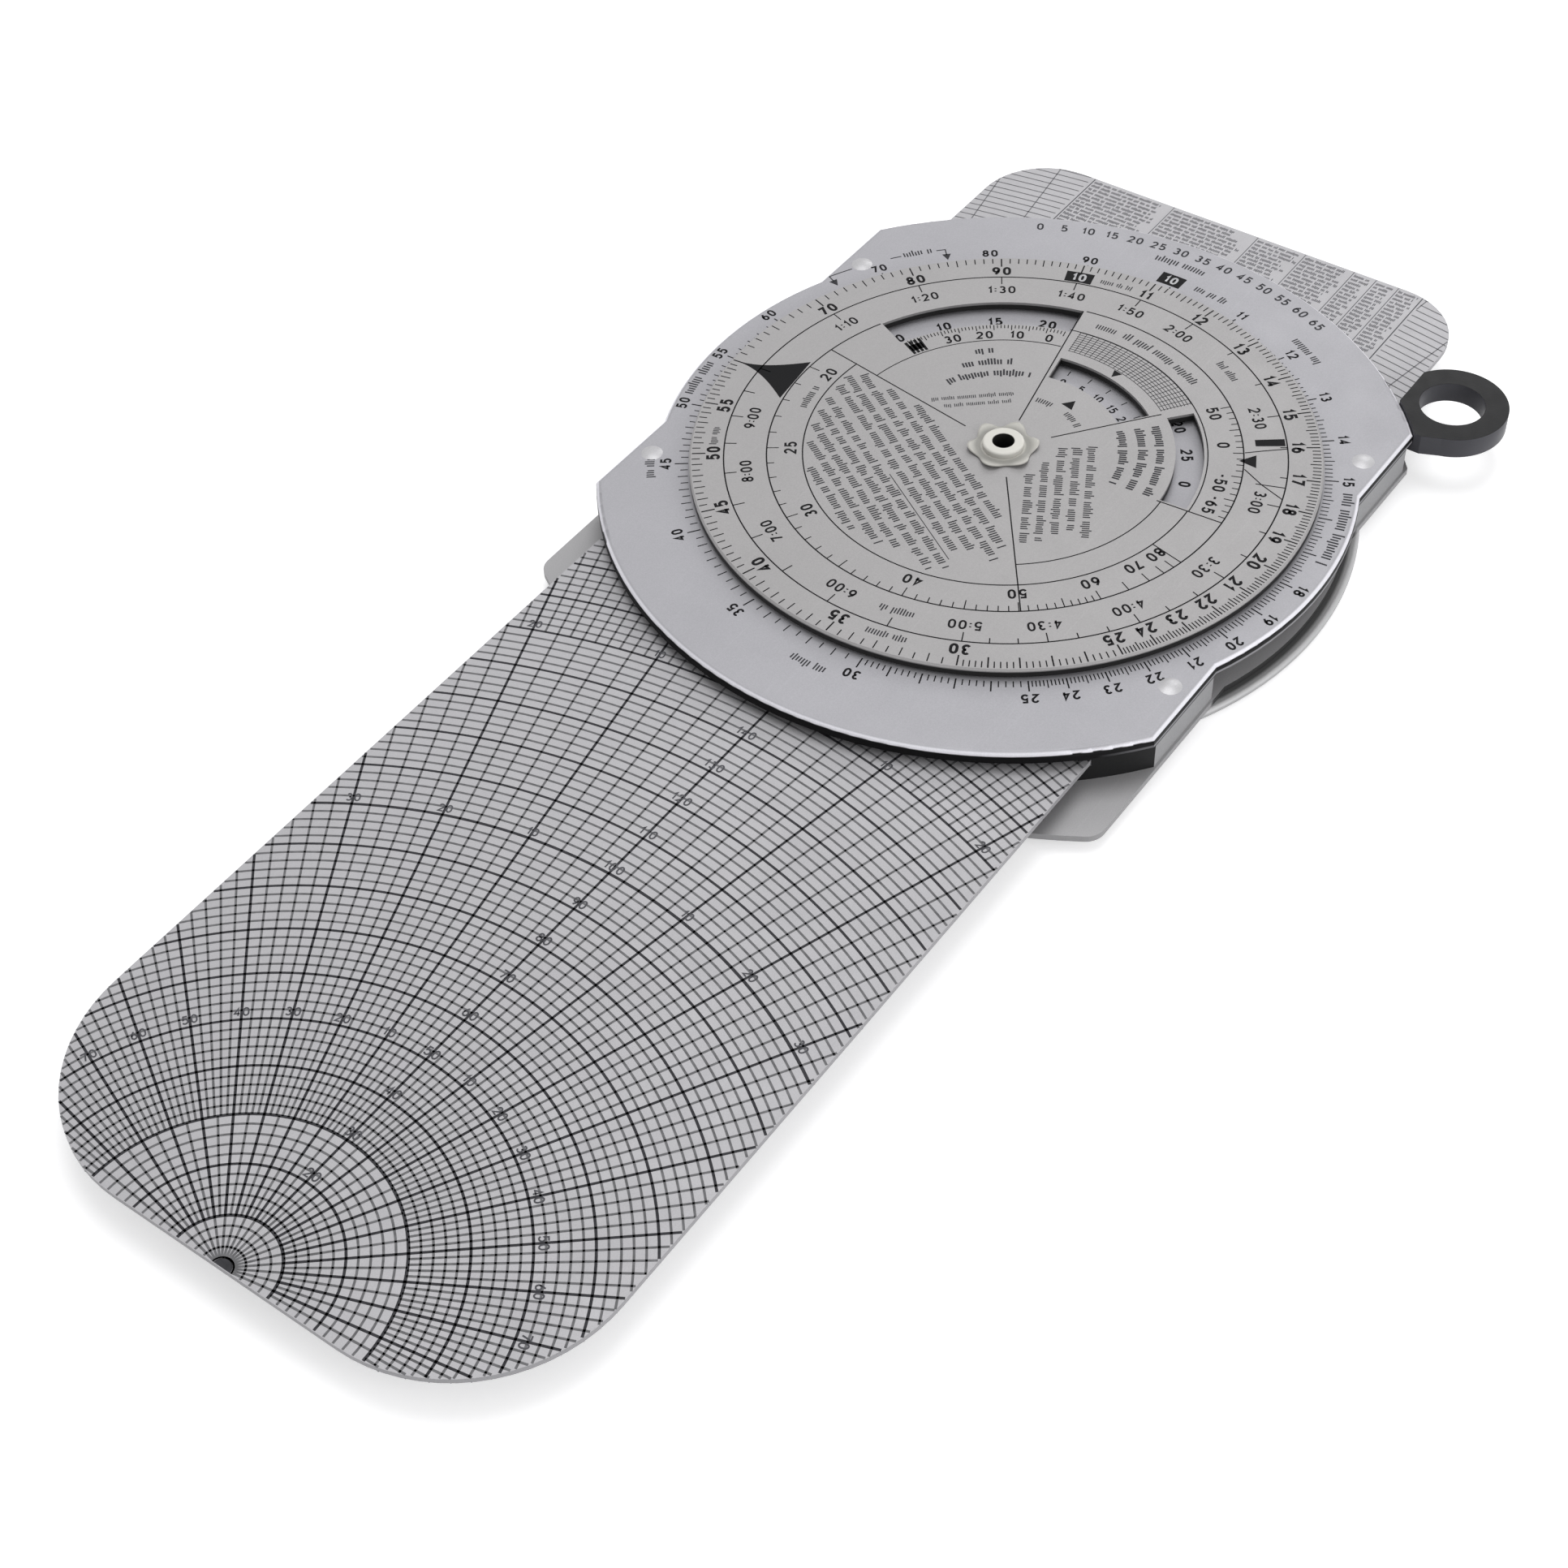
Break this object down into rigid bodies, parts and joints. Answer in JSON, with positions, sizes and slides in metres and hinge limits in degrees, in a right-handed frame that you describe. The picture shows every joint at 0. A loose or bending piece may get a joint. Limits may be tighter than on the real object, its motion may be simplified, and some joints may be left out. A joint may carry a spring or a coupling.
{
  "type": "circular slide rule",
  "caption": "Flat metal circular slide rule: turning scale disc on a grooved frame, long sliding grid card, turning compass ring with a window behind, and a plastic lanyard loop.",
  "frame": {"origin": "on the pivot axis, in the plane of the azimuth ring's outer face, on which the object lies", "axes": "+Z out of the calculator face along the pivot, +Y along the card towards its square-grid end, +X to the right"},
  "size_m": [0.1281, 0.278, 0.0143],
  "materials": {
    "plate_metal": "satin anodised, printed scales",
    "disc_metal": "satin anodised, printed scales",
    "card_metal": "satin anodised, printed grid",
    "guide_metal": "milled",
    "ring_metal": "satin anodised",
    "rivet_metal": "bare",
    "spring_steel": "spring steel",
    "cream_plastic": "moulded, aged",
    "black_plastic": "moulded, semi-matt",
    "clear_plastic": "clear sheet, frosted lightly",
    "eyelet_brass": "rolled eyelet",
    "felt": "pressed felt",
    "print_ink": "screen-printed ink"
  },
  "bodies": {
    "frame": {"front_plate": "plate_metal", "rear_plate": "plate_metal", "guide_upper_left": "guide_metal", "guide_upper_right": "guide_metal", "guide_lower_left": "guide_metal", "guide_lower_right": "guide_metal", "frame_rivets": "rivet_metal", "slide_pads": "felt", "lanyard_ring": "black_plastic", "pivot_rivet": "cream_plastic", "pivot_cap_washer": "cream_plastic", "disc_spring_washer": "spring_steel", "pivot_lock_washer": "spring_steel"},
    "disc": {"calculator_disc": "disc_metal"},
    "azimuth": {"azimuth_ring": "ring_metal", "azimuth_retainer": "ring_metal", "azimuth_rivets": "rivet_metal", "azimuth_window": "clear_plastic", "window_grommet": "eyelet_brass"},
    "slide": {"slide_card": "card_metal"}
  },
  "joints": [
    {"name": "disc_spin", "type": "hinge", "parent": "frame", "child": "disc", "pos_m": [0, 0, 0.0121], "axis": [0, 0, 1], "continuous": true},
    {"name": "azimuth_spin", "type": "hinge", "parent": "frame", "child": "azimuth", "pos_m": [0, 0, 0.0023], "axis": [0, 0, 1], "continuous": true},
    {"name": "card_slide", "type": "slide", "parent": "frame", "child": "slide", "axis": [0, 1, 0], "range_m": [-0.034, 0.15]}
  ]
}
